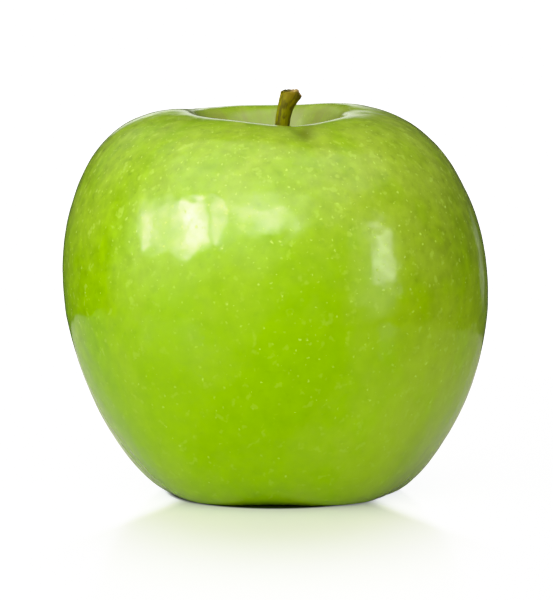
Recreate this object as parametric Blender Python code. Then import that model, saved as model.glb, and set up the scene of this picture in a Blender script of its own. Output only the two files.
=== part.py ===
"""A green apple standing on its base: the fruit, its woody stem and its dried calyx. Metres, +Z up, -Y is the front."""
import math

import bmesh
import bpy
from mathutils import Matrix, Vector

MM = 0.001
TOUCH_GAP = 0.3 * MM

# The fruit: its line from the stem's hollow out over the rim and down to the basin, as (radius, height)
WIDEST_RADIUS = 40.0 * MM
WIDEST_HEIGHT = 39.8 * MM
RIM_RADIUS = 16.0 * MM
RIM_HEIGHT = 71.6 * MM
FOOT_RADIUS = 16.8 * MM
FOOT_DIP = 0.4 * MM
FOOT_BEND = 0.3 * MM
HOLLOW_LINE = ((3.7 * MM, 57.4 * MM), (6.4 * MM, 61.4 * MM), (10.9 * MM, 67.6 * MM))
SHOULDER_LINE = ((26.0 * MM, 69.4 * MM), (33.6 * MM, 62.4 * MM), (38.5 * MM, 51.4 * MM))
FLANK_LINE = ((38.6 * MM, 28.0 * MM), (34.3 * MM, 15.5 * MM), (28.4 * MM, 6.0 * MM), (22.2 * MM, 0.6 * MM))
BASIN_LINE = ((12.3 * MM, 2.3 * MM), (9.2 * MM, 5.9 * MM), (6.2 * MM, 8.8 * MM))
POINTS_PER_SPAN = 3
FRUIT_SIDES = 72

# The fruit: what makes it uneven
LOBES = 5
LOBE_TURN_TOP = math.radians(35.0)
LOBE_TURN_BASE = math.radians(24.0)
LOBE_SPREAD_TOP = 0.003
LOBE_SPREAD_BASE = 0.033
LOBE_RISE_TOP = 0.15 * MM
LOBE_DROP_BASE = 0.15 * MM
DEPTH_TO_WIDTH = 0.985
LEAN = -3.05 * MM
RIM_TILT_BACK = 0.7 * MM
RIM_SADDLE = 0.6 * MM
RIM_SADDLE_TURN = math.radians(21.5)
FURROW_ANGLE = math.radians(-72.0)
FURROW_HALF_ANGLE = math.radians(6.0)
FURROW_RADIUS = 21.5 * MM
FURROW_HALF_LENGTH = 4.5 * MM
FURROW_DEPTH = 0.7 * MM

# The stem: its middle line, as (place, radius), from its foot in the socket to the end where it was picked
STEM_X = 0.9 * MM
STEM_LINE = (
    ((0.9 * MM, 0.0, 52.8 * MM), 1.70 * MM),
    ((0.9 * MM, 0.0, 56.5 * MM), 1.62 * MM),
    ((0.9 * MM, -0.2 * MM, 62.0 * MM), 1.42 * MM),
    ((1.1 * MM, -0.3 * MM, 68.0 * MM), 1.38 * MM),
    ((1.7 * MM, -0.3 * MM, 72.1 * MM), 1.46 * MM),
    ((2.3 * MM, -0.2 * MM, 73.9 * MM), 1.80 * MM),
    ((2.8 * MM, 0.0, 75.3 * MM), 2.00 * MM),
    ((2.95 * MM, 0.0, 75.8 * MM), 1.85 * MM),
)
STEM_POINTS_PER_SPAN = 3
STEM_SIDES = 14
STEM_RIDGES = 3
STEM_RIDGE = 0.05
SOCKET_RADIUS = STEM_LINE[0][1] + TOUCH_GAP
SOCKET_FLOOR = STEM_LINE[0][0][2] - TOUCH_GAP
SOCKET_MOUTH = 55.6 * MM

# The calyx: a short tube in a seat in the middle of the basin, with five sepals and a tuft of dry stamens
CALYX_RADIUS = 3.3 * MM
CALYX_WALL = 1.3 * MM
CALYX_TOP = 12.6 * MM
CALYX_MOUTH = 9.8 * MM
CALYX_SIDES = 20
SEAT_RADIUS = CALYX_RADIUS + TOUCH_GAP
SEAT_MOUTH = 10.3 * MM
SEPALS = 5
SEPAL_LENGTH = 6.4 * MM
SEPAL_WIDTH = 3.6 * MM
SEPAL_THICKNESS = 0.75 * MM
SEPAL_RINGS = 7
SEPAL_ROOT_RADIUS = 2.6 * MM
SEPAL_ROOT_HEIGHT = 10.5 * MM
SEPAL_SPLAY = math.radians(12.0)
SEPAL_CURL = math.radians(66.0)
STAMENS = 9
STAMEN_RADIUS = 0.34 * MM
STAMEN_LENGTH = 4.6 * MM
STAMEN_CIRCLE = 1.7 * MM
STAMEN_SIDES = 5
STAMEN_LEAN = math.radians(14.0)
CALYX_UNEVEN = 0.12
CALYX_UNEVEN_STEP = 2.4


def clear_scene():
    for item in list(bpy.data.objects):
        bpy.data.objects.remove(item, do_unlink=True)


def finish(name, colour, roughness):
    material = bpy.data.materials.new(name)
    material.use_nodes = True
    shader = material.node_tree.nodes["Principled BSDF"]
    shader.inputs["Base Color"].default_value = (*colour, 1.0)
    shader.inputs["Roughness"].default_value = roughness
    shader.inputs["Metallic"].default_value = 0.0
    return material


def rise(value, low, high):
    """0 below low, 1 above high and a smooth step between them."""
    part = min(max((value - low) / (high - low), 0.0), 1.0)
    return part * part * (3.0 - 2.0 * part)


def bump(value, half_width):
    """1 at zero, falling smoothly to almost nothing at twice the half width."""
    return math.exp(-(value / half_width) ** 2)


def smooth_line(points, steps):
    """A curve through the points, with the given number of steps between each two of them."""
    points = [Vector(point) for point in points]
    before = points[0] * 2.0 - points[1]
    after = points[-1] * 2.0 - points[-2]
    padded = [before] + points + [after]
    line = []
    for index in range(1, len(padded) - 2):
        p0, p1, p2, p3 = padded[index - 1:index + 3]
        for step in range(steps):
            t = step / steps
            line.append(0.5 * (2.0 * p1 + (p2 - p0) * t + (2.0 * p0 - 5.0 * p1 + 4.0 * p2 - p3) * t ** 2
                               + (3.0 * p1 - p0 - 3.0 * p2 + p3) * t ** 3))
    return line + [points[-1]]


def add_object(name, bm, material):
    """Makes one closed, outward-facing, smooth-shaded object of a bmesh."""
    bmesh.ops.recalc_face_normals(bm, faces=bm.faces)
    mesh = bpy.data.meshes.new(name)
    bm.to_mesh(mesh)
    bm.free()
    mesh.shade_smooth()
    mesh.set_sharp_from_angle(angle=math.radians(50.0))
    mesh.materials.append(material)
    item = bpy.data.objects.new(name, mesh)
    bpy.context.scene.collection.objects.link(item)
    return item


def fruit_outline():
    """The fruit's half section, from the middle of the socket's floor to the middle of the seat's roof."""
    flesh = smooth_line(
        ((SOCKET_RADIUS, SOCKET_MOUTH),) + HOLLOW_LINE + ((RIM_RADIUS, RIM_HEIGHT),) + SHOULDER_LINE
        + ((WIDEST_RADIUS, WIDEST_HEIGHT),) + FLANK_LINE + ((FOOT_RADIUS, -FOOT_DIP),) + BASIN_LINE
        + ((SEAT_RADIUS, SEAT_MOUTH),),
        POINTS_PER_SPAN,
    )
    seat_roof = CALYX_TOP + TOUCH_GAP
    socket = [Vector((0.0, SOCKET_FLOOR)), Vector((SOCKET_RADIUS, SOCKET_FLOOR))]
    seat = [Vector((SEAT_RADIUS, seat_roof)), Vector((0.0, seat_roof))]
    return socket + flesh + seat


def pressed_flat(height):
    """Heights over the foot stay, those well under it lie at 0, and a soft bend joins the two."""
    if height > FOOT_BEND:
        return height
    return max(height + FOOT_BEND, 0.0) ** 2 / (4.0 * FOOT_BEND)


def uneven(place):
    """Moves a point of the turned fruit to where it lies on the lobed, leaning one."""
    radius = math.hypot(place.x, place.y)
    angle = math.atan2(place.y, place.x)
    height = place.z
    outer = rise(radius, 3.0 * MM, 15.0 * MM)
    upper = rise(height, 42.0 * MM, 70.0 * MM) * outer
    lower = (1.0 - rise(height, 2.0 * MM, 24.0 * MM)) * rise(radius, 6.0 * MM, 13.0 * MM)
    lobe_top = upper * math.cos(LOBES * (angle - LOBE_TURN_TOP))
    lobe_base = lower * math.cos(LOBES * (angle - LOBE_TURN_BASE))
    wide = radius * (1.0 + LOBE_SPREAD_TOP * lobe_top + LOBE_SPREAD_BASE * lobe_base)
    x = wide * math.cos(angle)
    y = wide * math.sin(angle) * (1.0 + (DEPTH_TO_WIDTH - 1.0) * outer)
    top_half = rise(height, 20.0 * MM, 70.0 * MM) * outer
    z = height + LOBE_RISE_TOP * lobe_top - LOBE_DROP_BASE * lobe_base
    z += (RIM_TILT_BACK * y / RIM_RADIUS + RIM_SADDLE * math.cos(2.0 * (angle - RIM_SADDLE_TURN))) * top_half
    swing = (angle - FURROW_ANGLE + math.pi) % (2.0 * math.pi) - math.pi
    z -= FURROW_DEPTH * bump(swing, FURROW_HALF_ANGLE) * bump(radius - FURROW_RADIUS, FURROW_HALF_LENGTH) * upper
    lean = LEAN * (height - WIDEST_HEIGHT) / RIM_HEIGHT * outer
    centre = STEM_X * (1.0 - outer) * rise(height, 30.0 * MM, 50.0 * MM)
    return Vector((x + lean + centre, y, pressed_flat(z)))


def make_fruit():
    bm = bmesh.new()
    verts = [bm.verts.new((point.x, 0.0, point.y)) for point in fruit_outline()]
    edges = [bm.edges.new(pair) for pair in zip(verts, verts[1:])]
    bmesh.ops.spin(bm, geom=verts + edges, cent=(0.0, 0.0, 0.0), axis=(0.0, 0.0, 1.0),
                   angle=2.0 * math.pi, steps=FRUIT_SIDES, use_duplicate=False)
    bmesh.ops.remove_doubles(bm, verts=bm.verts, dist=0.01 * MM)
    for vert in bm.verts:
        vert.co = uneven(vert.co)
    bmesh.ops.triangulate(bm, faces=bm.faces)
    return add_object("fruit", bm, finish("green_skin", (0.30, 0.54, 0.012), 0.28))


def loft(bm, rings):
    """Joins rings of points, each with the same number of points, into one closed body."""
    rows = [[bm.verts.new(point) for point in ring] for ring in rings]
    for row, following in zip(rows, rows[1:]):
        for side in range(len(row)):
            nearer = (side + 1) % len(row)
            bm.faces.new((row[side], row[nearer], following[nearer], following[side]))
    bm.faces.new(reversed(rows[0]))
    bm.faces.new(rows[-1])
    bmesh.ops.triangulate(bm, faces=bm.faces)


def ring_at(centre, heading, radius, sides, shape=lambda turn: 1.0):
    """A ring of points round centre, square to heading."""
    across = Vector((0.0, 1.0, 0.0)).cross(heading).normalized()
    along = heading.normalized().cross(across)
    ring = []
    for side in range(sides):
        turn = 2.0 * math.pi * side / sides
        ring.append(centre + (across * math.cos(turn) + along * math.sin(turn)) * radius * shape(turn))
    return ring


def make_stem():
    places = smooth_line([place for place, radius in STEM_LINE], STEM_POINTS_PER_SPAN)
    radii = smooth_line([(radius, 0.0) for place, radius in STEM_LINE], STEM_POINTS_PER_SPAN)
    rings = []
    for index, place in enumerate(places):
        heading = places[min(index + 1, len(places) - 1)] - places[max(index - 1, 0)]
        free = rise(place.z, SOCKET_MOUTH, SOCKET_MOUTH + 6.0 * MM)
        ridged = lambda turn, free=free: 1.0 + STEM_RIDGE * free * math.cos(STEM_RIDGES * turn)
        rings.append(ring_at(place, heading, radii[index].x, STEM_SIDES, ridged))
    bm = bmesh.new()
    loft(bm, rings)
    return add_object("stem", bm, finish("stem_wood", (0.13, 0.13, 0.012), 0.62))


def calyx_tube(bm):
    """A cup of dry tissue that fills the seat, open downwards."""
    inner = CALYX_RADIUS - CALYX_WALL
    section = ((CALYX_RADIUS, CALYX_TOP), (CALYX_RADIUS, CALYX_MOUTH + CALYX_WALL * 0.5),
               (CALYX_RADIUS - 0.4 * MM, CALYX_MOUTH), (inner, CALYX_MOUTH), (inner, CALYX_TOP - CALYX_WALL))
    rings = [ring_at(Vector((0.0, 0.0, height)), Vector((0.0, 0.0, -1.0)), radius, CALYX_SIDES)
             for radius, height in section]
    loft(bm, rings)


def uneven_share(index):
    """A steady but irregular factor near 1 for the size of each sepal and stamen."""
    return 1.0 + CALYX_UNEVEN * math.sin(CALYX_UNEVEN_STEP * index + 1.0)


def sepal(bm, index):
    """One pointed sepal, rooted in the tube's lip, splayed over the basin and curled at its tip."""
    vary = uneven_share(index)
    spin = Matrix.Rotation(2.0 * math.pi * (index + 0.5 * vary) / SEPALS, 3, "Z")
    radius = SEPAL_ROOT_RADIUS
    height = SEPAL_ROOT_HEIGHT
    step = SEPAL_LENGTH * vary / (SEPAL_RINGS - 1)
    rings = []
    for row in range(SEPAL_RINGS):
        share = row / (SEPAL_RINGS - 1)
        pitch = (SEPAL_SPLAY + SEPAL_CURL * share ** 1.5) * vary
        normal = Vector((math.cos(pitch), 0.0, math.sin(pitch)))
        centre = Vector((radius, 0.0, height))
        half_width = 0.5 * SEPAL_WIDTH * (1.0 - share) ** 0.7 + 0.35 * MM
        half_thick = 0.5 * SEPAL_THICKNESS
        arch = 0.25 * half_width
        points = []
        for across, lift in ((-1.0, 0.0), (0.0, 1.0), (1.0, 0.0), (0.0, -1.0)):
            sideways = Vector((0.0, across * half_width, 0.0))
            points.append(spin @ (centre + sideways + normal * (lift * half_thick + arch * (1.0 - abs(across)))))
        rings.append(points)
        radius += step * math.sin(pitch)
        height -= step * math.cos(pitch)
    loft(bm, rings)


def stamen(bm, index):
    """One dry, thread-like stamen hanging from inside the tube."""
    vary = uneven_share(index)
    turn = 2.0 * math.pi * index / STAMENS
    lean = STAMEN_LEAN * (0.4 + 0.3 * (index % 3)) * vary
    circle = STAMEN_CIRCLE * (1.0 if index % 2 else 0.62)
    root = Vector((circle * math.cos(turn), circle * math.sin(turn), CALYX_TOP - CALYX_WALL + 0.5 * MM))
    heading = Vector((-math.sin(lean) * math.cos(turn), -math.sin(lean) * math.sin(turn), -math.cos(lean)))
    reach = heading * STAMEN_LENGTH * vary
    rings = [ring_at(root + reach * share, heading, STAMEN_RADIUS * thick, STAMEN_SIDES)
             for share, thick in ((0.0, 1.3), (0.75, 0.9), (0.85, 1.5), (1.0, 0.9))]
    loft(bm, rings)


def fuse(parts, name, material):
    """One closed body of several that overlap, by a Boolean union of the first with all the others."""
    body = add_object(name, parts[0], material)
    tools = bpy.data.collections.new(f"{name}_tools")
    bpy.context.scene.collection.children.link(tools)
    for index, part in enumerate(parts[1:]):
        tool = add_object(f"{name}_tool_{index}", part, material)
        bpy.context.scene.collection.objects.unlink(tool)
        tools.objects.link(tool)
    union = body.modifiers.new("union", "BOOLEAN")
    union.operation = "UNION"
    union.solver = "MANIFOLD"
    union.operand_type = "COLLECTION"
    union.collection = tools
    joined = bpy.data.meshes.new_from_object(body.evaluated_get(bpy.context.evaluated_depsgraph_get()))
    body.modifiers.clear()
    body.data = joined
    body.data.name = name
    for tool in list(tools.objects):
        bpy.data.objects.remove(tool, do_unlink=True)
    bpy.data.collections.remove(tools)
    return body


def make_calyx():
    parts = [bmesh.new()]
    calyx_tube(parts[0])
    for index in range(SEPALS):
        part = bmesh.new()
        sepal(part, index)
        parts.append(part)
    for index in range(STAMENS):
        part = bmesh.new()
        stamen(part, index)
        parts.append(part)
    return fuse(parts, "calyx", finish("dry_calyx", (0.16, 0.10, 0.04), 0.85))


clear_scene()
make_fruit()
make_stem()
make_calyx()
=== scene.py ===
import math

import bpy
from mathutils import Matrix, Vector


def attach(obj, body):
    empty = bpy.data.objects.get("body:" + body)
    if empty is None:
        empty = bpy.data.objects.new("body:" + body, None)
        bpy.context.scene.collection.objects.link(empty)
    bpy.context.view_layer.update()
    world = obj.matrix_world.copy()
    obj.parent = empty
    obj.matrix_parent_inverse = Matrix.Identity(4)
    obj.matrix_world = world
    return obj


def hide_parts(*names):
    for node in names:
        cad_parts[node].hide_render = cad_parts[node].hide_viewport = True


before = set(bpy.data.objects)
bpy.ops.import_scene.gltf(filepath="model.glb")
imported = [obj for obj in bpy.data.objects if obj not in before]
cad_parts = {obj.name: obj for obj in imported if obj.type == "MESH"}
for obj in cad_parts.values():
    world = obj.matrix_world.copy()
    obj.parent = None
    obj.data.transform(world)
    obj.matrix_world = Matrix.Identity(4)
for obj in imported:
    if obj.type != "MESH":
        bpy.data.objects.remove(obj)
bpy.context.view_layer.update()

# The fruit: one grown body of firm flesh under a thin waxy skin. Its half outline is turned about the core
# line and made uneven by a rule: five faint lobes, a lean to the left, a rim that dips to the front, a short
# furrow in the shoulder, and creases where the hollow narrows to the stem.
MM = 0.001
WIDEST_RADIUS = 40.0 * MM
WIDEST_HEIGHT = 39.8 * MM
RIM_RADIUS = 16.0 * MM
RIM_HEIGHT = 71.6 * MM
FOOT_RADIUS = 16.8 * MM
FOOT_DIP = 0.4 * MM
STEM_X = 0.9 * MM
SOCKET = ((0.0, 52.5 * MM), (2.0 * MM, 52.5 * MM))
FRUIT_OUTLINE = (
    # radius and height of the half outline, from the bottom of the hollow over the rim to the basin
    (2.0 * MM, 55.6 * MM), (3.7 * MM, 57.4 * MM), (6.4 * MM, 61.4 * MM),
    (10.9 * MM, 67.6 * MM), (RIM_RADIUS, RIM_HEIGHT), (26.0 * MM, 69.4 * MM), (33.6 * MM, 62.4 * MM),
    (38.5 * MM, 51.4 * MM), (WIDEST_RADIUS, WIDEST_HEIGHT), (38.6 * MM, 28.0 * MM), (34.3 * MM, 15.5 * MM),
    (28.4 * MM, 5.9 * MM), (22.4 * MM, 0.30 * MM), (FOOT_RADIUS, -FOOT_DIP), (12.3 * MM, 2.3 * MM),
    (9.2 * MM, 5.9 * MM), (6.2 * MM, 8.8 * MM), (3.6 * MM, 10.3 * MM),
)
CALYX_ROOF = ((3.6 * MM, 12.9 * MM), (0.0, 12.9 * MM))
FRUIT_SHAPE = {
    "Rows": 262, "Sides": 336,
    "Lobes": 5.0, "Lobe turn top": math.radians(35.0), "Lobe turn base": math.radians(16.0),
    "Lobe spread top": 0.003, "Lobe spread base": 0.033,
    "Lobe rise top": 0.15 * MM, "Lobe drop base": 0.15 * MM,
    "Depth to width": 0.985, "Lean": -3.05 * MM, "Rim tilt": 0.7 * MM,
    "Saddle": 0.6 * MM, "Saddle turn": math.radians(21.5),
    "Furrow turn": math.radians(-72.0), "Furrow half turn": math.radians(6.0),
    "Furrow radius": 21.5 * MM, "Furrow half length": 4.5 * MM, "Furrow depth": 0.7 * MM,
    "Foot bend": 0.3 * MM, "Foot lean": -0.65 * MM,
    "Foot notch": 0.45 * MM, "Foot notch half turn": math.radians(44.0),
    "Hollow creases": 13.0, "Crease depth": 0.10 * MM,
    "Swell": 0.06 * MM, "Ripple": 0.09 * MM, "Skin inset": -0.12 * MM,
}


def join(tree, slot, value):
    """Feeds a node's input with another node's output, or sets it."""
    if isinstance(value, Measure):
        tree.links.new(value.socket, slot)
    else:
        slot.default_value = value


def step(tree, kind, feeds, out=0, **settings):
    """Adds one node, sets it up, feeds its inputs and gives one of its outputs."""
    node = tree.nodes.new(kind)
    for name, value in settings.items():
        setattr(node, name, value)
    for slot, value in feeds.items():
        join(tree, node.inputs[slot], value)
    return Measure(tree, node.outputs[out])


class Measure:
    """A number or a place that a node tree works out, so that a rule can be written as a sum."""

    def __init__(self, tree, socket):
        self.tree = tree
        self.socket = socket

    def work(self, operation, *others):
        """One sum on this number, and the others."""
        feeds = dict(enumerate((self,) + others))
        return step(self.tree, "ShaderNodeMath", feeds, operation=operation)

    def __add__(self, other):
        return self.work("ADD", other)

    def __sub__(self, other):
        return self.work("SUBTRACT", other)

    def __mul__(self, other):
        return self.work("MULTIPLY", other)

    def __truediv__(self, other):
        return self.work("DIVIDE", other)

    def __rsub__(self, other):
        return self.work("MULTIPLY_ADD", -1.0, other)

    __radd__ = __add__
    __rmul__ = __mul__

    def rise(self, low, high):
        """0 below low, 1 above high and a smooth step between them."""
        feeds = {"Value": self, "From Min": low, "From Max": high}
        return step(self.tree, "ShaderNodeMapRange", feeds, interpolation_type="SMOOTHSTEP")

    def bump(self, half_width):
        """1 at zero, falling smoothly to almost nothing at twice the half width."""
        return ((self / half_width).work("POWER", 2.0) * -1.0).work("EXPONENT")

    def parts(self):
        """The x, y and z of a place."""
        split = self.tree.nodes.new("ShaderNodeSeparateXYZ")
        join(self.tree, split.inputs[0], self)
        return [Measure(self.tree, output) for output in split.outputs]

    def along(self, operation, *others, out=0):
        """One sum on this place or direction, and the others."""
        feeds = dict(enumerate((self,) + others))
        if operation == "SCALE":
            feeds = {0: self, "Scale": others[0]}
        return step(self.tree, "ShaderNodeVectorMath", feeds, out=out, operation=operation)


def place(x, y, z):
    """One place or direction of three measures."""
    tree = next(part.tree for part in (x, y, z) if isinstance(part, Measure))
    return step(tree, "ShaderNodeCombineXYZ", {0: x, 1: y, 2: z})


def smooth_line(points, steps):
    """A curve through the points, with the given number of steps between each two of them."""
    points = [Vector(point) for point in points]
    padded = [points[0] * 2.0 - points[1]] + points + [points[-1] * 2.0 - points[-2]]
    line = []
    for index in range(1, len(padded) - 2):
        p0, p1, p2, p3 = padded[index - 1:index + 3]
        for part in range(steps):
            t = part / steps
            line.append(0.5 * (2.0 * p1 + (p2 - p0) * t + (2.0 * p0 - 5.0 * p1 + 4.0 * p2 - p3) * t ** 2
                               + (3.0 * p1 - p0 - 3.0 * p2 + p3) * t ** 3))
    return line + [points[-1]]


def growing_rule(name, shape):
    """A node tree with one named input for each size, and those inputs as measures."""
    tree = bpy.data.node_groups.new(name, "GeometryNodeTree")
    tree.interface.new_socket("Geometry", in_out="OUTPUT", socket_type="NodeSocketGeometry")
    tree.interface.new_socket("Geometry", in_out="INPUT", socket_type="NodeSocketGeometry")
    kinds = {int: "NodeSocketInt", float: "NodeSocketFloat"}
    for label, value in shape.items():
        tree.interface.new_socket(label, in_out="INPUT", socket_type=kinds[type(value)])
    inputs = tree.nodes.new("NodeGroupInput")
    return tree, {socket.name: Measure(tree, socket) for socket in inputs.outputs if socket.name}


def half_outline(tree, sizes, marks=()):
    """A sheet of rows and sides, the angle round it, and the outline's length, radius, height and marks."""
    sheet = tree.nodes.new("GeometryNodeMeshGrid")
    join(tree, sheet.inputs["Size X"], 1.0)
    join(tree, sheet.inputs["Size Y"], 1.0)
    join(tree, sheet.inputs["Vertices X"], sizes["Rows"])
    join(tree, sheet.inputs["Vertices Y"], sizes["Sides"] + 1.0)
    across, around = step(tree, "GeometryNodeInputPosition", {}).parts()[:2]
    curve = step(tree, "GeometryNodeMeshToCurve", {"Mesh": sizes["Geometry"]})
    reach = step(tree, "GeometryNodeCurveLength", {"Curve": curve})

    def sampled(name, out):
        """The outline's place, or the mark of that name, at each row."""
        sample = tree.nodes.new("GeometryNodeSampleCurve")
        sample.mode = "FACTOR"
        sample.data_type = "FLOAT_VECTOR"
        join(tree, sample.inputs["Curves"], curve)
        join(tree, sample.inputs["Factor"], across + 0.5)
        if name:
            mark = step(tree, "GeometryNodeInputNamedAttribute", {"Name": name}, data_type="FLOAT_VECTOR")
            join(tree, sample.inputs["Value"], mark)
        return Measure(tree, sample.outputs[out])

    radius, height = sampled("", "Position").parts()[::2]
    found = [sampled(name, "Value") for name in marks]
    sheet = Measure(tree, sheet.outputs["Mesh"])
    return [sheet, around * math.tau, (across + 0.5) * reach, radius, height] + found


def close_sheet(tree, mesh, position, marks):
    """Moves the sheet's points, closes its seam and poles and keeps the marks on it."""
    for name, value in marks.items():
        feeds = {"Geometry": mesh, "Name": name, "Value": value}
        mesh = step(tree, "GeometryNodeStoreNamedAttribute", feeds, data_type="FLOAT_VECTOR", domain="POINT")
    mesh = step(tree, "GeometryNodeSetPosition", {"Geometry": mesh, "Position": position})
    return step(tree, "GeometryNodeMergeByDistance", {"Geometry": mesh, "Distance": 0.002 * MM})


def finish_tree(tree, mesh, material):
    """Ends a tree: smooth shading, real meshes in place of copies, and the material."""
    mesh = step(tree, "GeometryNodeSetShadeSmooth", {"Geometry": mesh})
    mesh = step(tree, "GeometryNodeRealizeInstances", {"Geometry": mesh})
    mesh = step(tree, "GeometryNodeSetMaterial", {"Geometry": mesh, "Material": material})
    tree.links.new(mesh.socket, tree.nodes.new("NodeGroupOutput").inputs[0])


def grow(name, outline, tree, shape, marks=None):
    """Runs the rule on an outline of radius and height, and keeps the result as a mesh at the origin."""
    line = bpy.data.meshes.new(name + "_outline")
    points = [(point[0], 0.0, point[1]) for point in outline]
    line.from_pydata(points, [(index, index + 1) for index in range(len(points) - 1)], [])
    for mark, values in (marks or {}).items():
        attribute = line.attributes.new(mark, "FLOAT_VECTOR", "POINT")
        attribute.data.foreach_set("vector", [number for value in values for number in value])
    source = bpy.data.objects.new(name + "_outline", line)
    bpy.context.scene.collection.objects.link(source)
    rule = source.modifiers.new(name, "NODES")
    rule.node_group = tree
    for socket in tree.interface.items_tree:
        if socket.in_out == "INPUT" and socket.name in shape:
            rule[socket.identifier] = shape[socket.name]
    grown = source.evaluated_get(bpy.context.evaluated_depsgraph_get())
    mesh = bpy.data.meshes.new_from_object(grown)
    finish = mesh.materials[-1]
    mesh.materials.clear()
    mesh.materials.append(finish)
    source.modifiers.clear()
    bpy.data.objects.remove(source, do_unlink=True)
    mesh.name = name
    piece = bpy.data.objects.new(name, mesh)
    bpy.context.scene.collection.objects.link(piece)
    return piece


def stands_for(piece, node):
    """The piece rides with the fruit and stands for the solid of that name, which is hidden."""
    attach(piece, "root")
    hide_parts(node)


def plain_shader(name):
    """A new material, its node tree and its shader."""
    material = bpy.data.materials.new(name)
    material.use_nodes = True
    tree = material.node_tree
    return material, tree, tree.nodes["Principled BSDF"]


def blend_colours(tree, share, first, second):
    """A colour that goes from the first to the second as share goes from 0 to 1."""
    mix = tree.nodes.new("ShaderNodeMix")
    mix.data_type = "RGBA"
    join(tree, mix.inputs["Factor"], share)
    for slot, colour in ((mix.inputs[6], first), (mix.inputs[7], second)):
        join(tree, slot, colour if isinstance(colour, Measure) else (*colour, 1.0))
    return Measure(tree, mix.outputs[2])


def noise(tree, where, scale, detail=2.0, out=0):
    """A random pattern round 0.5, with so many patches to the metre, or to the unit of where."""
    feeds = {"Vector": where, "Scale": scale, "Detail": detail}
    return step(tree, "ShaderNodeTexNoise", feeds, out=out)


SKIN_GREEN = (0.250, 0.430, 0.020)
SKIN_DEEP_GREEN = (0.215, 0.400, 0.011)
SKIN_PALE = (0.335, 0.455, 0.058)
SKIN_OLIVE = (0.235, 0.350, 0.020)
DOT_YELLOW = (0.500, 0.690, 0.110)
HOLLOW_SHADE_OLIVE = (0.262, 0.303, 0.070)
FURROW_SHADE_OLIVE = (0.150, 0.195, 0.015)
RUSSET = (0.230, 0.200, 0.050)
DOT_SPACING = 2.1 * MM


def skin_dots(tree, angle, along, spacing, shift, keep):
    """Breathing pores of the skin, one to a cell at most, at sizes and strengths that differ."""
    where = place(angle * WIDEST_RADIUS + shift, along, 0.0)
    wander = noise(tree, where, 1.0 / (0.6 * MM), 1.0, out="Color").along("SUBTRACT", (0.5, 0.5, 0.5))
    where = where.along("ADD", wander.along("SCALE", 0.8 * MM))
    cells = tree.nodes.new("ShaderNodeTexVoronoi")
    cells.voronoi_dimensions = "2D"
    join(tree, cells.inputs["Vector"], where)
    join(tree, cells.inputs["Scale"], 1.0 / spacing)
    chance, strength, lot = Measure(tree, cells.outputs["Color"]).parts()
    size = chance * 0.085 + 0.030
    dot = 1.0 - Measure(tree, cells.outputs["Distance"]).rise(size * 0.2, size * 1.6)
    return dot * (strength.work("POWER", 1.5) * 0.8 + 0.2) * lot.work("LESS_THAN", keep)


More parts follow.
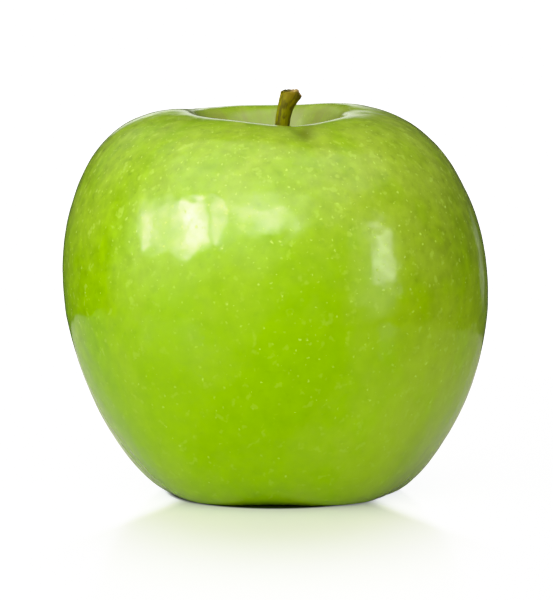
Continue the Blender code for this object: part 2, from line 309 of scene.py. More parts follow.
def make_skin():
    """The waxy skin: patchy green with pale pores and flecks, olive in the hollow, with painted shade on the
    right shoulder, in the furrow and in the hollow, and painted light low on the right.
    """
    material, tree, shader = plain_shader("green_skin")
    cosine, sine, along = step(tree, "ShaderNodeAttribute", {}, out="Vector", attribute_name="skin").parts()
    spot = step(tree, "ShaderNodeTexCoord", {}, out="Object")
    x, y, height = spot.parts()
    # Breathing pores: two sheets of dots, each with its seam on the side that the other one covers.
    from_front = cosine.work("ARCTAN2", sine * -1.0)
    from_back = (cosine * -1.0).work("ARCTAN2", sine)
    front = (sine * -1.0).rise(-0.25, 0.25)
    keep = height.rise(-6.0 * MM, 66.0 * MM)
    dots = (skin_dots(tree, from_front, along, DOT_SPACING, 0.0, keep) * front).work(
        "MAXIMUM", skin_dots(tree, from_back, along, DOT_SPACING, 7.0 * MM, keep) * (1.0 - front))

    # Patterns of the green, from broad patches and streaks down the sides to fine grain and flecks.
    mottle = noise(tree, place(cosine * 5.0, sine * 5.0, along * 110.0), 1.0, 4.0)
    streaks = noise(tree, place(cosine * 26.0, sine * 26.0, along * 300.0), 1.0, 3.0)
    broad = noise(tree, place(cosine * 2.2, sine * 2.2, along * 38.0 + 3.0), 1.0, 1.0)
    fine = noise(tree, spot, 430.0, 5.0)
    flecks = noise(tree, spot, 620.0, 3.0).rise(0.60, 0.72)
    light_flecks = noise(tree, spot.along("ADD", (0.1, 0.0, 0.0)), 560.0, 2.0).rise(0.60, 0.72)
    upper = height.rise(36.0 * MM, 72.0 * MM)
    right = x.rise(-2.0 * MM, 27.0 * MM)
    deep_left = (x + 33.0 * MM).bump(7.0 * MM) * (height - 40.0 * MM).bump(13.0 * MM)
    deep_middle = (x - 4.0 * MM).bump(18.0 * MM) * (height - 26.0 * MM).bump(14.0 * MM)

    # Olive towards the right, deeper at the left and low in the middle, and paler on the shoulders.
    colour = blend_colours(tree, right * 0.75, SKIN_GREEN, SKIN_OLIVE)
    deep = (deep_left + deep_middle * 0.9 + mottle.rise(0.5, 0.35) * 0.4).work("MINIMUM", 1.0)
    colour = blend_colours(tree, deep * 0.85, colour, SKIN_DEEP_GREEN)
    pale = broad.rise(0.4, 0.62) * 0.30 + upper * 0.75 + right * 0.2 - deep_middle * 0.3
    pale = pale * (mottle.rise(0.35, 0.65) * 0.35 + streaks.rise(0.48, 0.68) * 0.15 + 0.50)
    colour = blend_colours(tree, pale.work("MINIMUM", 1.0).work("MAXIMUM", 0.0), colour, SKIN_PALE)
    sides = x.work("ABSOLUTE").rise(16.0 * MM, 38.0 * MM) * height.rise(14.0 * MM, 40.0 * MM)
    uneven = upper * 0.7 + sides * 0.7 + 0.48
    # Painted shade darkens the upper right shoulder. Painted light brightens the lower right, the right edge
    # below the shoulder and a patch on the left side.
    painted_shade = (x - 33.0 * MM).bump(8.0 * MM) * (height - 50.0 * MM).bump(12.0 * MM) * 0.14
    painted_light = x.rise(4.0 * MM, 30.0 * MM) * (1.0 - height.rise(6.0 * MM, 50.0 * MM)) * 0.20
    painted_light = painted_light + (x + 28.0 * MM).bump(9.0 * MM) * (height - 36.0 * MM).bump(14.0 * MM) * 0.06
    painted_light = painted_light + x.rise(28.0 * MM, 38.0 * MM) * (1.0 - height.rise(28.0 * MM, 62.0 * MM)) * 0.13
    grain = ((fine - 0.5) * 0.55 + (0.02 - flecks * 0.10)) * uneven
    colour = colour.along("SCALE", grain + (1.0 - painted_shade) + painted_light)
    colour = blend_colours(tree, light_flecks * uneven * 0.30, colour, DOT_YELLOW)
    colour = blend_colours(tree, dots * (upper * 0.25 + 0.75), colour, DOT_YELLOW)
    # Painted shade: dark olive in the furrow, and olive in the hollow darkened as painted shade; russet round
    # the stem.
    in_furrow = (x - 5.5 * MM).bump(1.9 * MM) * (y + 18.6 * MM).bump(3.4 * MM) * upper
    colour = blend_colours(tree, in_furrow * (mottle.rise(0.3, 0.6) * 0.3 + 0.6), colour, FURROW_SHADE_OLIVE)
    in_hollow = 1.0 - along.rise(23.0 * MM, 28.0 * MM)
    colour = blend_colours(tree, in_hollow * (0.6 + mottle.rise(0.42, 0.55) * 0.3), colour, HOLLOW_SHADE_OLIVE)
    colour = blend_colours(tree, (1.0 - along.rise(4.0 * MM, 12.0 * MM)) * 0.7, colour, RUSSET)
    join(tree, shader.inputs["Base Color"], colour)

    # A waxy gloss over flesh that lets a little light through, with the pores standing proud of it.
    join(tree, shader.inputs["Roughness"], 0.07 + mottle * 0.05 + dots * 0.2)
    shader.inputs["IOR"].default_value = 1.31
    shader.inputs["Subsurface Weight"].default_value = 0.10
    shader.inputs["Subsurface Radius"].default_value = (1.0, 1.0, 0.3)
    shader.inputs["Subsurface Scale"].default_value = 1.2 * MM
    relief = fine * 0.8 + dots * 0.8
    feeds = {"Height": relief, "Strength": 1.0, "Distance": 0.02 * MM}
    join(tree, shader.inputs["Normal"], step(tree, "ShaderNodeBump", feeds))
    return material


def make_fruit():
    """The whole skin as one closed shell: the hollow, the body, the foot and the basin."""
    tree, size = growing_rule("turned fruit", FRUIT_SHAPE)
    mesh, angle, along, radius, height = half_outline(tree, size)
    # Five lobes swell the shoulders and the foot. Nothing changes close to the stem and the calyx.
    outer = radius.rise(3.0 * MM, 15.0 * MM)
    upper = height.rise(42.0 * MM, 70.0 * MM) * outer
    lower = (1.0 - height.rise(2.0 * MM, 24.0 * MM)) * radius.rise(6.0 * MM, 13.0 * MM)
    lobe_top = upper * ((angle - size["Lobe turn top"]) * size["Lobes"]).work("COSINE")
    lobe_base = lower * ((angle - size["Lobe turn base"]) * size["Lobes"]).work("COSINE")
    wide = radius * (lobe_top * size["Lobe spread top"] + lobe_base * size["Lobe spread base"] + 1.0)
    cosine = angle.work("COSINE")
    sine = angle.work("SINE")
    y = wide * sine * ((size["Depth to width"] - 1.0) * outer + 1.0)
    # The rim dips to the front and at two sides, a furrow runs over it, and the foot's edge is notched.
    saddle = size["Saddle"] * ((angle - size["Saddle turn"]) * 2.0).work("COSINE")
    raised = (size["Rim tilt"] * y / RIM_RADIUS + saddle) * height.rise(20.0 * MM, 70.0 * MM) * outer
    swing = (angle - size["Furrow turn"]).work("WRAP", math.pi, -math.pi)
    furrow = swing.bump(size["Furrow half turn"])
    furrow = furrow * (radius - size["Furrow radius"]).bump(size["Furrow half length"])
    z = height + size["Lobe rise top"] * lobe_top - size["Lobe drop base"] * lobe_base + raised
    z = z - size["Furrow depth"] * furrow * upper
    notch = (angle + math.pi * 0.5).work("WRAP", math.pi, -math.pi).bump(size["Foot notch half turn"])
    notch = notch * (1.0 - height.rise(1.5 * MM, 6.0 * MM)) * radius.rise(8.0 * MM, 13.0 * MM)
    z = z + size["Foot notch"] * notch
    # The whole body leans to the left as it rises, and the hollow's bottom moves to where the stem grows.
    lean = size["Lean"] * (height - WIDEST_HEIGHT) / RIM_HEIGHT
    lean = (lean + size["Foot lean"] * (1.0 - height.rise(3.0 * MM, 24.0 * MM))) * outer
    centre = (1.0 - outer) * height.rise(30.0 * MM, 50.0 * MM) * STEM_X

    # The skin isn't quite even, and the hollow has creases that run to the stem.
    swell = noise(tree, place(cosine * radius, sine * radius, height), 1.0 / (9.0 * MM), 1.0) - 0.5
    ripple = noise(tree, place(cosine * radius, sine * radius, height), 1.0 / (4.0 * MM), 1.0) - 0.5
    relief = (swell * size["Swell"] + ripple * size["Ripple"]) * 2.0 + size["Skin inset"]
    relief = relief * radius.rise(3.0 * MM, 10.0 * MM)
    creases = (angle * size["Hollow creases"]).work("COSINE") * size["Crease depth"]
    in_hollow = height.rise(56.0 * MM, 60.0 * MM) * (1.0 - radius.rise(7.0 * MM, 15.0 * MM))
    out = relief + creases * in_hollow
    body_height = (z / RIM_HEIGHT - 0.5) * 1.4
    x_out = wide * cosine + out * cosine
    y_out = y + out * sine
    z_out = z + out * body_height

    # What would reach below the table is rounded off into the flat foot.
    bend = size["Foot bend"]
    pressed = (z_out + bend).work("MAXIMUM", 0.0).work("POWER", 2.0) / (bend * 4.0)
    above = z_out.work("GREATER_THAN", bend)
    z_out = z_out * above + pressed * (1.0 - above)
    position = place(x_out + lean + centre, y_out, z_out)
    mesh = close_sheet(tree, mesh, position, {"skin": place(cosine, sine, along)})
    finish_tree(tree, mesh, make_skin())
    outline = list(SOCKET) + smooth_line(FRUIT_OUTLINE, 12) + list(CALYX_ROOF)
    return grow("fruit_skin", outline, tree, FRUIT_SHAPE)


stands_for(make_fruit(), "fruit")

# The stem: the woody stalk that the fruit hung by, grown out of the bottom of the hollow. It has faint ridges
# along it, thickens to the right at the top, and ends where it was torn off the twig, in broken fibres.
STEM_LINE = (
    # x, y, height and radius, from the root to the picked end
    (0.90 * MM, 0.0, 52.85 * MM, 1.70 * MM), (0.90 * MM, 0.0, 56.5 * MM, 1.62 * MM),
    (0.90 * MM, -0.20 * MM, 62.0 * MM, 1.42 * MM), (1.10 * MM, -0.30 * MM, 68.0 * MM, 1.38 * MM),
    (1.70 * MM, -0.30 * MM, 72.0 * MM, 1.46 * MM), (2.25 * MM, -0.20 * MM, 73.7 * MM, 1.70 * MM),
    (2.95 * MM, 0.0, 75.2 * MM, 1.98 * MM), (3.15 * MM, 0.0, 75.75 * MM, 1.96 * MM),
)
STEM_SHAPE = {
    "Rows": 150, "Sides": 72, "Ridges": 3.0, "Ridge": 0.05, "Fibre": 0.07 * MM, "Wart": 0.10 * MM,
    "Tear": 0.45 * MM, "Level": 0.40, "Slant": 1.10 * MM, "Slant from": 0.8 * MM, "Slant to": 2.0 * MM,
}
BARK_LIT_AND_PALE = (0.270, 0.265, 0.012)
BARK_MIDDLE = (0.120, 0.115, 0.002)
BARK_BROWN = (0.180, 0.115, 0.010)
BARK_DARK = (0.045, 0.038, 0.002)
TORN_WOOD = (0.330, 0.190, 0.080)
TORN_PALE = (0.420, 0.330, 0.110)


def make_bark():
    """Blotched green-brown bark with fibres along it, painted light down its left side, and pale wood where
    it was torn.
    """
    material, tree, shader = plain_shader("stem_wood")
    cosine, sine, along = step(tree, "ShaderNodeAttribute", {}, out="Vector", attribute_name="grain").parts()
    torn, tip, fresh = step(tree, "ShaderNodeAttribute", {}, out="Vector", attribute_name="torn").parts()
    fibres = noise(tree, place(cosine * 5.0, sine * 5.0, along * 260.0), 1.0, 4.0)
    blotches = noise(tree, place(cosine * 1.6, sine * 1.6, along * 520.0), 1.0, 2.0)
    # Painted light: the bark is lighter down its left front side, and pale fibres lighten it too.
    side = (cosine * -1.0 - sine * 0.3).rise(-0.9, 0.9)
    light = (side * 0.6 + fibres.rise(0.4, 0.7) * 0.3).work("MINIMUM", 1.0)
    colour = blend_colours(tree, light, BARK_MIDDLE, BARK_LIT_AND_PALE)
    colour = blend_colours(tree, blotches.rise(0.52, 0.38) * 0.75, colour, BARK_DARK)
    near_top = 1.0 - along.rise(2.0 * MM, 7.0 * MM)
    colour = blend_colours(tree, near_top * (blotches.rise(0.35, 0.6) * 0.6 + 0.2), colour, BARK_BROWN)
    colour = blend_colours(tree, tip * 0.85, colour, BARK_DARK)
    frayed = noise(tree, place(cosine * 6.0, sine * 6.0, along * 900.0), 1.0, 3.0)
    wood = blend_colours(tree, frayed.rise(0.40, 0.65), TORN_WOOD, TORN_PALE)
    wood = blend_colours(tree, fresh, BARK_DARK, wood)
    colour = blend_colours(tree, torn, colour, wood)
    join(tree, shader.inputs["Base Color"], colour)
    join(tree, shader.inputs["Roughness"], 0.68 - fibres * 0.15 + torn * 0.2)
    shader.inputs["IOR"].default_value = 1.25
    feeds = {"Height": fibres + blotches * 0.5, "Strength": 0.8, "Distance": 0.12 * MM}
    join(tree, shader.inputs["Normal"], step(tree, "ShaderNodeBump", feeds))
    return material


def make_stem():
    """The stalk as one closed shell: an outline of radius and reach, set round the bent line."""
    line = smooth_line(STEM_LINE, 6)
    middles = [Vector(point[:3]) for point in line]
    headings = []
    run = [0.0]
    for index in range(len(middles)):
        ahead = middles[min(index + 1, len(middles) - 1)] - middles[max(index - 1, 0)]
        headings.append(ahead.normalized())
        if index:
            run.append(run[-1] + (middles[index] - middles[index - 1]).length)
    top = run[-1]
    cap = ((0.0, 0.10 * MM), (0.9 * MM, 0.16 * MM), (1.5 * MM, 0.22 * MM), (1.80 * MM, 0.12 * MM))
    outline = [(radius, top + lift) for radius, lift in cap]
    outline += [(point[3], reach) for point, reach in zip(reversed(line), reversed(run))] + [(0.0, 0.0)]
    middle_marks = [middles[-1] + headings[-1] * lift for radius, lift in cap]
    middle_marks += list(reversed(middles)) + [middles[0]]
    heading_marks = [headings[-1]] * len(cap) + list(reversed(headings)) + [headings[0]]

    # Each row of the sheet is set round the bent line, by the middle and the heading that its mark gives.
    tree, size = growing_rule("stem", STEM_SHAPE)
    mesh, angle, along, radius, height, middle, heading = half_outline(tree, size, ("middle", "heading"))
    cosine = angle.work("COSINE")
    sine = angle.work("SINE")
    near_tip = height.rise(top - 1.3 * MM, top - 0.1 * MM)
    feeds = {0: (0.0, 1.0, 0.0), 1: heading}
    rightward = step(tree, "ShaderNodeVectorMath", feeds, operation="CROSS_PRODUCT").along("NORMALIZE")
    backward = heading.along("CROSS_PRODUCT", rightward)
    free = height.rise(4.0 * MM, 9.0 * MM)
    fibre = noise(tree, place(cosine * 4.7, sine * 4.7, height * 420.0), 1.0, 3.0) - 0.5
    wart = noise(tree, place(cosine * 1.3, sine * 1.3, height * 520.0), 1.0, 1.0) - 0.5
    uneven = fibre * size["Fibre"] * 2.0 + wart * size["Wart"] * 2.0
    thick = radius * ((angle * size["Ridges"]).work("COSINE") * size["Ridge"] * free + 1.0)
    thick = thick + uneven * radius.rise(0.4 * MM, 1.2 * MM) * free
    across = thick * cosine
    deep = thick * sine
    # The picked end rises to the right, breaks off in a slant there, and is frayed all over.
    slant = across.rise(size["Slant from"], size["Slant to"]) * size["Slant"]
    frayed = noise(tree, place(across, deep, 0.0), 1.0 / (0.55 * MM), 3.0) - 0.80
    lift = frayed * size["Tear"] * 1.6 * radius.rise(0.2 * MM, 0.8 * MM) + across * size["Level"] - slant
    lift = lift * near_tip
    position = middle.along("ADD", rightward.along("SCALE", across))
    position = position.along("ADD", backward.along("SCALE", deep))
    position = position.along("ADD", heading.along("SCALE", lift))
    on_cap = height.rise(top - 0.02 * MM, top + 0.12 * MM)
    tip_right = near_tip * across.rise(0.2 * MM, 1.6 * MM)
    fresh = across.rise(-0.7 * MM, 0.4 * MM)
    marks = {"grain": place(cosine, sine, along), "torn": place(on_cap, tip_right, fresh)}
    mesh = close_sheet(tree, mesh, position, marks)
    finish_tree(tree, mesh, make_bark())
    return grow("fruit_stem", outline, tree, STEM_SHAPE, {"middle": middle_marks, "heading": heading_marks})


stands_for(make_stem(), "stem")

# The calyx: what is left of the flower, in the basin under the fruit. A short dry tube, grown into the
# flesh, holds five sepals, shrunk to brown curled leaves, and inside them the dead stamens.
CUP_OUTLINE = (
    (0.0, 12.6 * MM), (3.3 * MM, 12.6 * MM), (3.3 * MM, 10.45 * MM), (2.9 * MM, 9.8 * MM),
    (2.3 * MM, 9.7 * MM), (2.0 * MM, 9.9 * MM), (2.0 * MM, 11.3 * MM), (0.0, 11.3 * MM),
)
CUP_SHAPE = {"Rows": 60, "Sides": 60, "Wrinkle": 0.10 * MM}
SEPAL_SHAPE = {
    "Rows": 44, "Sides": 28, "Sepals": 5, "Root radius": 2.6 * MM, "Root height": 10.5 * MM, "Vary": 0.12,
    "Vary step": 2.4, "Crumple": 0.16 * MM,
}
STAMEN_SHAPE = {
    "Rows": 26, "Sides": 10, "Stamens": 9, "Circle": 1.7 * MM, "Root height": 11.8 * MM, "Vary": 0.12,
    "Vary step": 2.4, "Lean": math.radians(14.0), "Bow": 0.3 * MM,
}
STAMEN_LENGTH = 4.6 * MM
STAMEN_OUTLINE = (
    (0.0, 0.0), (0.36 * MM, 0.0), (0.22 * MM, -1.0 * MM), (0.20 * MM, -3.4 * MM), (0.40 * MM, -3.7 * MM),
    (0.42 * MM, -4.2 * MM), (0.24 * MM, -STAMEN_LENGTH), (0.0, -4.65 * MM),
)
SEPAL_LENGTH = 6.4 * MM
SEPAL_WIDTH = 3.6 * MM
SEPAL_THICKNESS = 0.55 * MM
SEPAL_SPLAY = math.radians(12.0)
SEPAL_CURL = math.radians(66.0)
DRY_BROWN = (0.130, 0.075, 0.030)
DRY_PALE = (0.300, 0.230, 0.120)
DRY_DARK = (0.040, 0.022, 0.010)
DRY_GREEN = (0.170, 0.190, 0.060)


def make_dry_leaf():
    """Dry brown fibres, still a little green at the root of each piece and dark at its tip."""
    material, tree, shader = plain_shader("dry_calyx")
    share = step(tree, "ShaderNodeAttribute", {}, out="Vector", attribute_name="leaf").parts()[2]
    where = step(tree, "ShaderNodeTexCoord", {}, out="Object")
    fibres = noise(tree, where, 2600.0, 4.0)
    patches = noise(tree, where, 700.0, 2.0)
    colour = blend_colours(tree, patches.rise(0.4, 0.6), DRY_BROWN, DRY_PALE)
    colour = blend_colours(tree, (1.0 - share.rise(0.0, 0.5)) * 0.6, colour, DRY_GREEN)
    dark = share.rise(0.5, 1.0) * 0.6 + fibres.rise(0.55, 0.7) * 0.5
    colour = blend_colours(tree, dark, colour, DRY_DARK)
    join(tree, shader.inputs["Base Color"], colour)
    shader.inputs["Roughness"].default_value = 0.85
    shader.inputs["Sheen Weight"].default_value = 0.25
    feeds = {"Height": fibres, "Strength": 0.7, "Distance": 0.10 * MM}
    join(tree, shader.inputs["Normal"], step(tree, "ShaderNodeBump", feeds))
    return material


DRY_LEAF = make_dry_leaf()


def make_cup():
    """The short wrinkled tube."""
    tree, size = growing_rule("calyx cup", CUP_SHAPE)
    mesh, angle, along, radius, height = half_outline(tree, size)
    cosine = angle.work("COSINE")
    sine = angle.work("SINE")
    crumple = noise(tree, place(cosine * 3.0, sine * 3.0, along * 900.0), 1.0, 2.0) - 0.6
    wide = radius + crumple * size["Wrinkle"] * 2.0 * radius.rise(0.5 * MM, 1.5 * MM)
    position = place(wide * cosine, wide * sine, height)
    mesh = close_sheet(tree, mesh, position, {"leaf": place(cosine, sine, 0.0)})
    finish_tree(tree, mesh, DRY_LEAF)
    return grow("calyx_cup", CUP_OUTLINE, tree, CUP_SHAPE)


def copy_number(tree, size):
    """Which copy this is, counted from 0, and how much larger or smaller than the rest it grew."""
    index = step(tree, "GeometryNodeInputIndex", {})
    return index, (index * size["Vary step"] + 1.0).work("SINE") * size["Vary"] + 1.0


def copies_round(tree, mesh, count, turn, radius, height, tilt, scale):
    """Copies of a mesh, each at its own turn round the core line, tilted outwards by its own amount."""
    spot = place(turn.work("COSINE") * radius, turn.work("SINE") * radius, height)
    points = step(tree, "GeometryNodePoints", {"Count": count, "Position": spot})
    feeds = {
        "Points": points, "Instance": mesh,
        "Rotation": place(0.0, tilt, turn), "Scale": place(scale, scale, scale),
    }
    return step(tree, "GeometryNodeInstanceOnPoints", feeds)


def make_sepals():
    """Five curled sepals, each an outline along its own curl with the width and lift as marks."""
    rings = 30
    radius = height = 0.0
    outline, lift_marks, width_marks = [], [], []
    for row in range(rings + 1):
        share = row / rings
        pitch = SEPAL_SPLAY + SEPAL_CURL * share ** 1.5
        end = min(1.0, share / 0.03, (1.0 - share) / 0.06)
        end = math.sqrt(max(0.0, 1.0 - (1.0 - end) ** 2))
        half_width = (0.5 * SEPAL_WIDTH * (1.0 - share) ** 0.7 + 0.25 * MM) * end
        outline.append((radius, height))
        lift_marks.append((math.cos(pitch), 0.0, math.sin(pitch)))
        width_marks.append((half_width, 0.5 * SEPAL_THICKNESS * end * (1.0 - 0.6 * share), share))
        radius += SEPAL_LENGTH / rings * math.sin(pitch)
        height -= SEPAL_LENGTH / rings * math.cos(pitch)

    tree, size = growing_rule("sepals", SEPAL_SHAPE)
    mesh, angle, _, radius, height, lift, widths = half_outline(tree, size, ("lift", "widths"))
    half_width, half_thick, share = widths.parts()
    cosine = angle.work("COSINE")
    sine = angle.work("SINE")
    crumple = noise(tree, place(cosine * 1.4, share * 5.0, 0.0), 1.0, 3.0) - 0.5
    arch = (1.0 - cosine.work("ABSOLUTE")) * half_width * 0.25
    raised = half_thick * sine + arch + crumple * size["Crumple"] * 2.0 * half_width / (0.5 * SEPAL_WIDTH)
    position = place(radius, half_width * cosine, height).along("ADD", lift.along("SCALE", raised))
    mesh = close_sheet(tree, mesh, position, {"leaf": place(cosine, sine, share)})
    mesh = step(tree, "GeometryNodeFlipFaces", {"Mesh": mesh})
    index, vary = copy_number(tree, size)
    turn = (index + vary * 0.5) * math.tau / size["Sepals"]
    tilt = (1.0 - vary) * 0.7
    root = (size["Root radius"], size["Root height"])
    mesh = copies_round(tree, mesh, size["Sepals"], turn, *root, tilt, vary)
    finish_tree(tree, mesh, DRY_LEAF)
    return grow("calyx_sepals", outline, tree, SEPAL_SHAPE, {"lift": lift_marks, "widths": width_marks})


def make_stamens():
    """Nine dead stamens, each a thin bowed stalk with a knob at its end."""
    tree, size = growing_rule("stamens", STAMEN_SHAPE)
    mesh, angle, _, radius, height = half_outline(tree, size)
    cosine = angle.work("COSINE")
    sine = angle.work("SINE")
    bow = (height / STAMEN_LENGTH).work("POWER", 2.0) * size["Bow"]
    share = (height * -1.0 / STAMEN_LENGTH).rise(0.6, 1.0)
    position = place(radius * cosine + bow, radius * sine, height)
    mesh = close_sheet(tree, mesh, position, {"leaf": place(cosine, sine, share)})
    index, vary = copy_number(tree, size)
    turn = index * math.tau / size["Stamens"]
    circle = size["Circle"] * (index.work("MODULO", 2.0) * 0.38 + 0.62)
    tilt = size["Lean"] * (index.work("MODULO", 3.0) * 0.3 + 0.4) * vary
    mesh = copies_round(tree, mesh, size["Stamens"], turn, circle, size["Root height"], tilt, vary)
    finish_tree(tree, mesh, DRY_LEAF)
    return grow("calyx_stamens", STAMEN_OUTLINE, tree, STAMEN_SHAPE)


for calyx_piece in (make_cup(), make_sepals(), make_stamens()):
    stands_for(calyx_piece, "calyx")

# The table: a pale glossy board under the fruit, which is no part of it. It mirrors the foot faintly. Painted
# shade darkens its far right, and a nearly black ring under the foot is a painted contact shadow. To the
# camera it glows as painted light, and the glow fades out where the fruit stands as a painted shadow.
TABLE_RADIUS = 190.0 * MM
TABLE_DROP = 0.02 * MM
PALE_BOARD = (0.78, 0.77, 0.66)
SHADED_BOARD = (0.52, 0.51, 0.38)
CONTACT_SHADOW_DARK = (0.04, 0.06, 0.02)
BOARD_GLOW = (0.94, 0.95, 1.0, 1.0)
NEAR_GLOW = 0.19
FAR_GLOW = 0.64
SIDE_GLOW = 0.85
SHADED_GLOW = 0.25
SHADE_STRETCH = (1.7, 0.75, 0.0)
SHADE_RANGE = (28.0 * MM, 105.0 * MM)
CONTACT_SHADOW_STRETCH = (1.10, 1.0, 0.0)
CONTACT_SHADOW_RANGE = (21.2 * MM, 23.2 * MM)
RIGHT_RANGE = (25.0 * MM, 120.0 * MM)
BESIDE_SLOPE = 0.373
BESIDE_RANGE = (10.3 * MM, 16.8 * MM)
BEHIND_RANGE = (0.0, 25.0 * MM)
table_place = (0.0, 0.0, -TABLE_DROP)
bpy.ops.mesh.primitive_circle_add(vertices=96, radius=TABLE_RADIUS, fill_type="NGON", location=table_place)
table = bpy.context.object
table.name = "table"
board, board_tree, board_shader = plain_shader("pale_board")
board_shader.inputs["Emission Color"].default_value = BOARD_GLOW
seen = step(board_tree, "ShaderNodeLightPath", {}, out="Is Camera Ray")
on_board = step(board_tree, "ShaderNodeTexCoord", {}, out="Object")
away = on_board.along("MULTIPLY", SHADE_STRETCH).along("LENGTH", out="Value").rise(*SHADE_RANGE)
# Painted contact shadow: a ring just under the foot is nearly black and has no glow.
clear = on_board.along("MULTIPLY", CONTACT_SHADOW_STRETCH).along("LENGTH", out="Value").rise(*CONTACT_SHADOW_RANGE)
left_right, front_back = on_board.parts()[:2]
# Painted shade: the far right of the board is darker, and glows more to the camera to stay white.
far_right = left_right.rise(*RIGHT_RANGE)
board_colour = blend_colours(board_tree, far_right, PALE_BOARD, SHADED_BOARD)
board_colour = blend_colours(board_tree, clear, CONTACT_SHADOW_DARK, board_colour)
join(board_tree, board_shader.inputs["Base Color"], board_colour)
# Painted light: the camera sees the board glow, faintly near the fruit as a painted shadow, fully beside and
# behind it, and more on the far right.
beside = (left_right.work("ABSOLUTE") + front_back * BESIDE_SLOPE).rise(*BESIDE_RANGE)
beside = beside.work("MAXIMUM", front_back.rise(*BEHIND_RANGE))
glow = (away * FAR_GLOW + NEAR_GLOW) * (1.0 - beside) + beside * SIDE_GLOW + far_right * SHADED_GLOW
join(board_tree, board_shader.inputs["Emission Strength"], seen * clear * glow)
board_shader.inputs["Roughness"].default_value = 0.15
board_shader.inputs["IOR"].default_value = 1.12
table.data.materials.append(board)

# Light: a studio with a white back, a big soft box at the upper left, a fainter one above the camera, and a
# strip at the right. What lights the skin is soft and even, and what the gloss mirrors is drawn panel by
# panel: the boxes in several pieces, because their white cloth isn't evenly lit.
SOFT_LIGHTS = (
    # turn and rise in degrees, power, strength
    (-17.0, 20.0, 2.0, 2.76), (0.0, 88.0, 2.0, 0.46), (180.0, 25.0, 6.0, 0.8),
)
LIGHT_ALL_ROUND = 0.05
PANELS = (
    # turn, rise and roll in degrees, half width, half height and softness at distance 1, strength
    (-70.5, 24.5, 31.0, 0.17, 0.18, 0.08, 8.5),
    (-77.0, 20.0, 33.0, 0.03, 0.16, 0.03, 10.0),
    (-49.5, 29.5, 21.0, 0.15, 0.22, 0.06, 16.0),
    (-52.5, 35.5, 25.0, 0.08, 0.11, 0.05, 22.0),
    (-43.5, 29.0, 20.0, 0.07, 0.08, 0.05, 14.0),
    (-46.0, 22.0, 15.0, 0.08, 0.06, 0.04, 12.0),
    (-33.0, 35.5, 13.0, 0.065, 0.23, 0.04, 14.0),
    (-17.0, 40.0, 5.0, 0.16, 0.18, 0.14, 6.5),
    (3.0, 40.5, 3.0, 0.13, 0.08, 0.08, 11.0),
    (2.0, 46.0, 5.0, 0.28, 0.15, 0.16, 4.8),
    (64.0, 18.0, -10.0, 0.10, 0.24, 0.06, 9.8),
    (58.0, 14.0, -10.0, 0.20, 0.40, 0.12, 2.2),
    (152.0, -1.0, 0.0, 0.06, 0.09, 0.04, 0.35),
    (184.0, 10.0, 0.0, 0.12, 0.10, 0.05, 1.0),
    (-137.0, 40.0, 0.0, 0.40, 0.35, 0.25, 0.5),
    (-66.0, 8.0, 0.0, 0.50, 0.35, 0.35, 1.6),
    (-45.0, 40.0, 15.0, 0.85, 0.50, 0.45, 2.8),
    (-10.0, 80.0, 0.0, 0.80, 0.55, 0.40, 3.0),
)
FRONT_GLOW = (-15.0, 10.0, 0.58)
MIRRORED_ALL_ROUND = 0.045
BACKDROP = 1.6
room = bpy.data.worlds.new("room")
room.use_nodes = True
bpy.context.scene.world = room
air = room.node_tree
direction = step(air, "ShaderNodeTexCoord", {}, out="Generated")


def heading_of(turn, rise):
    """The direction at a turn to the right from the front, and a rise above level, in degrees."""
    turn = math.radians(turn)
    rise = math.radians(rise)
    return Vector((math.sin(turn) * math.cos(rise), -math.cos(turn) * math.cos(rise), math.sin(rise)))


def towards(axis):
    """How far the ray points along the axis: 1 straight along it, 0 square to it."""
    return direction.along("DOT_PRODUCT", tuple(axis), out="Value")


def soft_light(turn, rise, power, strength):
    """Broad soft light that comes mostly from one direction."""
    return towards(heading_of(turn, rise)).work("MAXIMUM", 0.0).work("POWER", power) * strength


def panel(turn, rise, roll, half_width, half_height, soft, strength):
    """A soft-edged lit panel as the gloss mirrors it."""
    facing = heading_of(turn, rise)
    right = Vector((0.0, 0.0, 1.0)).cross(facing).normalized()
    up = facing.cross(right)
    roll = math.radians(roll)
    rolled_right = right * math.cos(roll) + up * math.sin(roll)
    rolled_up = up * math.cos(roll) - right * math.sin(roll)
    ahead = towards(facing)
    distance = ahead.work("MAXIMUM", 0.02)
    shape = ahead.work("GREATER_THAN", 0.0) * strength
    for axis, half in ((rolled_right, half_width), (rolled_up, half_height)):
        offset = (towards(axis) / distance).work("ABSOLUTE")
        shape = shape * (1.0 - offset.rise(half - soft, half + soft))
    return shape


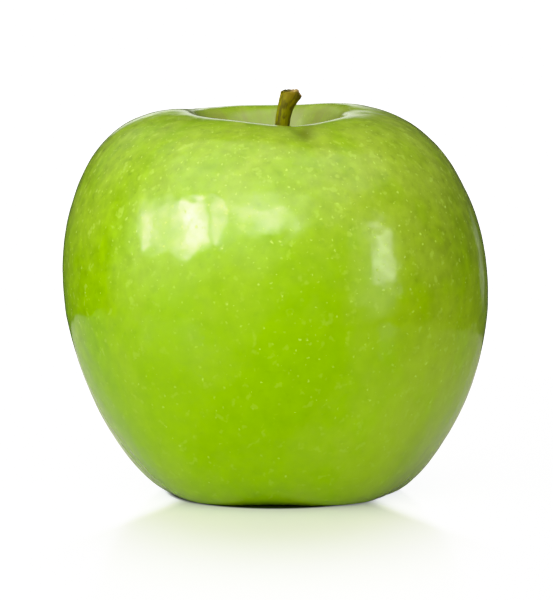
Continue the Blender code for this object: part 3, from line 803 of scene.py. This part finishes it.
lighting = sum((soft_light(*light) for light in SOFT_LIGHTS), LIGHT_ALL_ROUND)
mirrored = sum((panel(*sizes) for sizes in PANELS), MIRRORED_ALL_ROUND)
glow_turn, glow_rise, glow_strength = FRONT_GLOW
mirrored = mirrored + towards(heading_of(glow_turn, glow_rise)).rise(0.1, 0.8) * glow_strength
patchy = noise(air, direction, 9.0, 3.0).rise(0.35, 0.65) * 0.4 + 0.8
mirrored = mirrored * patchy
camera_ray = step(air, "ShaderNodeLightPath", {}, out="Is Camera Ray")
glossy_ray = step(air, "ShaderNodeLightPath", {}, out="Is Glossy Ray")
brightness = lighting * (1.0 - glossy_ray) + mirrored * glossy_ray
brightness = brightness * (1.0 - camera_ray) + camera_ray * BACKDROP
join(air, air.nodes["Background"].inputs["Strength"], brightness)
air.nodes["Background"].inputs["Color"].default_value = (1.0, 1.0, 1.0, 1.0)

# The camera stands a little above the level of the fruit and looks at it through a long lens. The picture is
# then made a little stronger in colour, and its brightest parts are rolled off to white as on film.
PHOTO_WIDTH = 553
PIXEL = 0.18779 * MM
CAMERA_DISTANCE = 0.9
CAMERA_RISE = 6.0
CAMERA_AIM = Vector((0.225 * MM, 0.0, 36.27 * MM))
SATURATION = 1.06
FILM_CURVE = ((0.20, 0.30), (0.40, 0.60), (0.60, 0.86), (0.80, 0.97))
FILM_WHITE = 1.5
lens = bpy.data.cameras.new("camera")
lens.sensor_fit = "HORIZONTAL"
lens.sensor_width = 36.0
lens.lens = lens.sensor_width * CAMERA_DISTANCE / (PHOTO_WIDTH * PIXEL)
lens.clip_start = 0.01
camera = bpy.data.objects.new("camera", lens)
back = heading_of(0.0, CAMERA_RISE)
camera.location = CAMERA_AIM + back * CAMERA_DISTANCE
camera.rotation_euler = back.to_track_quat("Z", "Y").to_euler()
bpy.context.scene.collection.objects.link(camera)
bpy.context.scene.camera = camera
bpy.context.scene.view_settings.view_transform = "Standard"
bpy.context.scene.use_nodes = True
film = bpy.context.scene.node_tree
film.nodes.clear()
picture = step(film, "CompositorNodeRLayers", {})
picture = step(film, "CompositorNodeHueSat", {"Image": picture, "Saturation": SATURATION})
roll_off = film.nodes.new("CompositorNodeCurveRGB")
film_curve = roll_off.mapping.curves[3]
for before, after in FILM_CURVE:
    film_curve.points.new(before, after)
roll_off.mapping.update()
roll_off.inputs["White Level"].default_value = (FILM_WHITE, FILM_WHITE, FILM_WHITE, 1.0)
join(film, roll_off.inputs["Image"], picture)
film.links.new(roll_off.outputs["Image"], film.nodes.new("CompositorNodeComposite").inputs["Image"])
